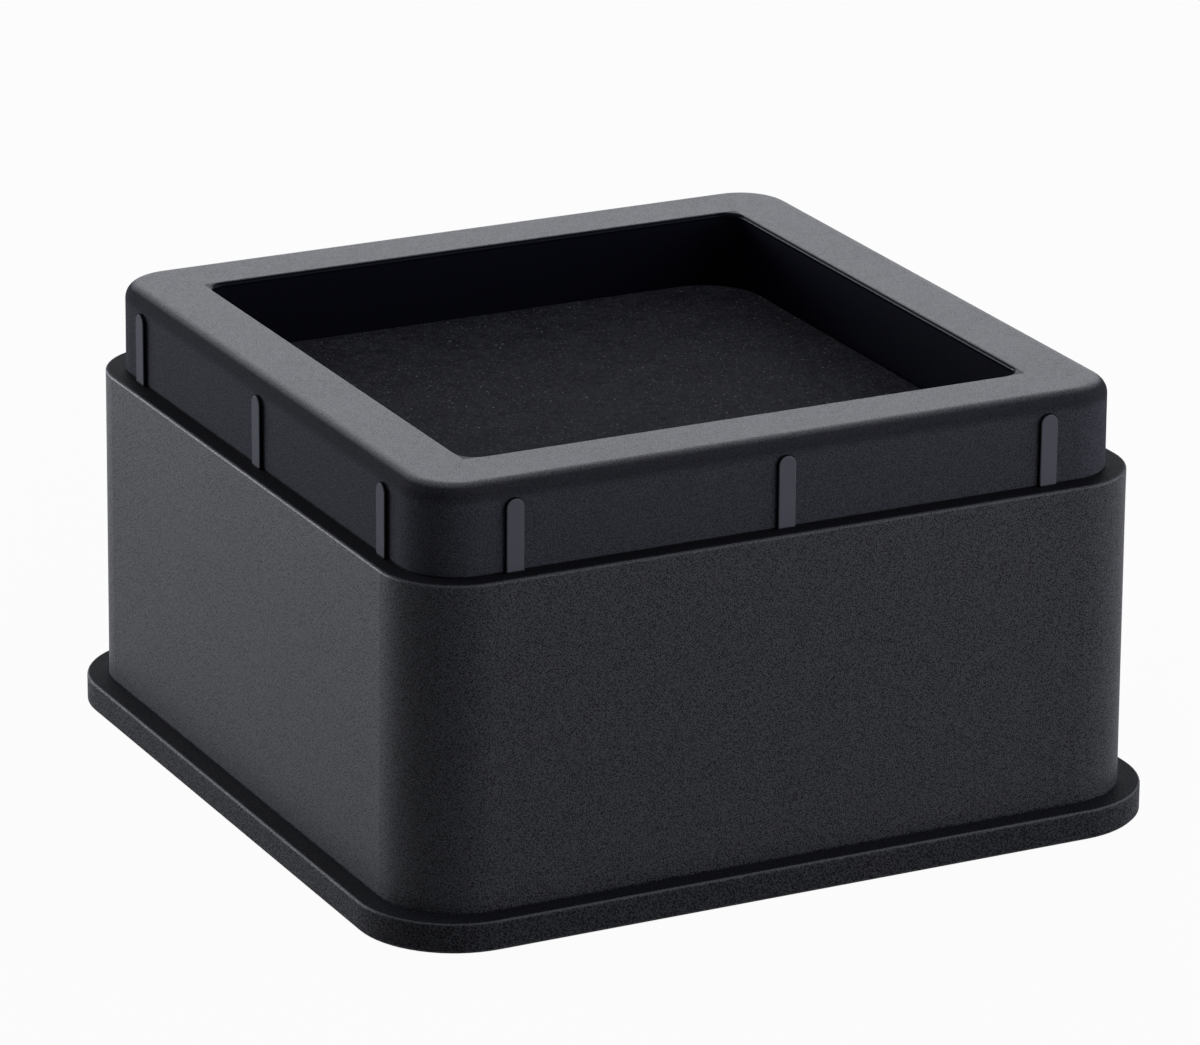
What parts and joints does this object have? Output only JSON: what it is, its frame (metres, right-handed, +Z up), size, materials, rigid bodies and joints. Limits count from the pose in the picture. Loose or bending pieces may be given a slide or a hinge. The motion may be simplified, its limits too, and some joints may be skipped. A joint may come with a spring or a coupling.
{
  "type": "stackable bed riser",
  "caption": "Square stackable furniture riser: flanged, slightly drafted hollow block with a narrower ribbed collar and a square recess with an anti-slip pad for a bed leg.",
  "frame": {"origin": "centre of the square foot, on the surface that the riser stands on", "axes": "+Z up, X and Y along the sides of the square; the four sides are alike"},
  "size_m": [0.1194, 0.1194, 0.0635],
  "materials": {
    "riser_plastic": "black moulded plastic with a fine grain, smooth inside the recess",
    "pad_foam": "dark grey closed-cell foam rubber with fine specks"
  },
  "bodies": {
    "root": {"riser_body": "riser_plastic", "recess_pad": "pad_foam"}
  },
  "joints": []
}
